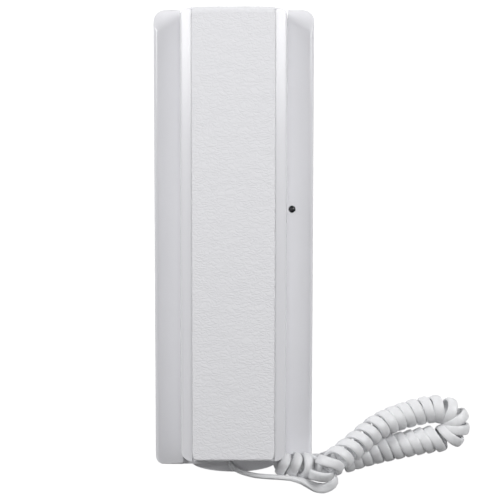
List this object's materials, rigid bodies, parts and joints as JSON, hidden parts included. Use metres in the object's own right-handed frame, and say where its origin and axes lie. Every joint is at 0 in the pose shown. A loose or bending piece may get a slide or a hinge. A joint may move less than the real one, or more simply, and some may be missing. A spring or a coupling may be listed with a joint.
{
  "type": "wall intercom phone",
  "caption": "Slim white wall phone: a winged cradle base, a full-length handset lying in it with a hook switch beneath, an indicator lens and a curly cord.",
  "frame": {"origin": "middle of the flat face that lies against the wall, between the two keyholes", "axes": "+Z out of the wall through the handset, +Y along the phone towards the earpiece end, +X to the right as seen from the front"},
  "size_m": [0.1506, 0.2321, 0.0418],
  "materials": {
    "white_gloss": "smooth moulded ABS",
    "white_grained": "fine-grained moulded ABS",
    "cord": "soft PVC sheath",
    "lens": "smoked, polished",
    "board": "solder-masked glass fibre",
    "black": "moulded",
    "blue": "moulded",
    "rubber": "soft, dull",
    "foam": "open foam",
    "steel": "zinc plated",
    "brass": "plain"
  },
  "bodies": {
    "base": {"base_housing": "white_gloss", "wall_plate": "white_gloss", "housing_screw_1": "steel", "housing_screw_2": "steel", "housing_screw_3": "steel", "housing_screw_4": "steel", "board_screw_1": "steel", "board_screw_2": "steel", "board_screw_3": "steel", "circuit_board": "board", "terminal_block": "blue", "terminal_screw_1": "brass", "terminal_screw_2": "brass", "terminal_screw_3": "brass", "terminal_screw_4": "brass", "ringer_sounder": "black", "storage_capacitor": "black", "speech_transformer": "steel", "indicator_led": "white_gloss", "indicator_lens": "lens", "hook_spring": "steel", "hook_switch": "black", "base_grommet": "rubber", "handset_lead": "cord", "curly_cord_out": "cord", "curly_cord_back": "cord", "base_lead": "cord"},
    "handset": {"handset_grommet": "rubber", "handset_front_shell": "white_gloss", "handset_front_panel": "white_grained", "handset_back_shell": "white_gloss", "handset_screw_1": "steel", "handset_screw_2": "steel", "receiver_seal": "foam", "receiver_capsule": "steel", "microphone_boot": "rubber", "microphone_capsule": "steel", "ballast_weight": "steel"},
    "hook": {"hook_plunger": "white_gloss"},
    "switch_button": {"hook_switch_button": "white_gloss"}
  },
  "joints": [
    {"name": "handset_lift", "type": "slide", "parent": "base", "child": "handset", "axis": [0, 0, 1], "range_m": [0, 0.06]},
    {"name": "hook_travel", "type": "slide", "parent": "base", "child": "hook", "axis": [0, 0, 1], "range_m": [0, 0.0035], "deforming": ["hook_spring"]},
    {"name": "switch_button_travel", "type": "slide", "parent": "base", "child": "switch_button", "axis": [0, 0, 1], "range_m": [0, 0.0005]}
  ],
  "couplings": [
    {"joint": "hook_travel", "follows": "handset_lift", "ratio": 0.058333},
    {"joint": "switch_button_travel", "follows": "handset_lift", "ratio": 0.0083333}
  ]
}
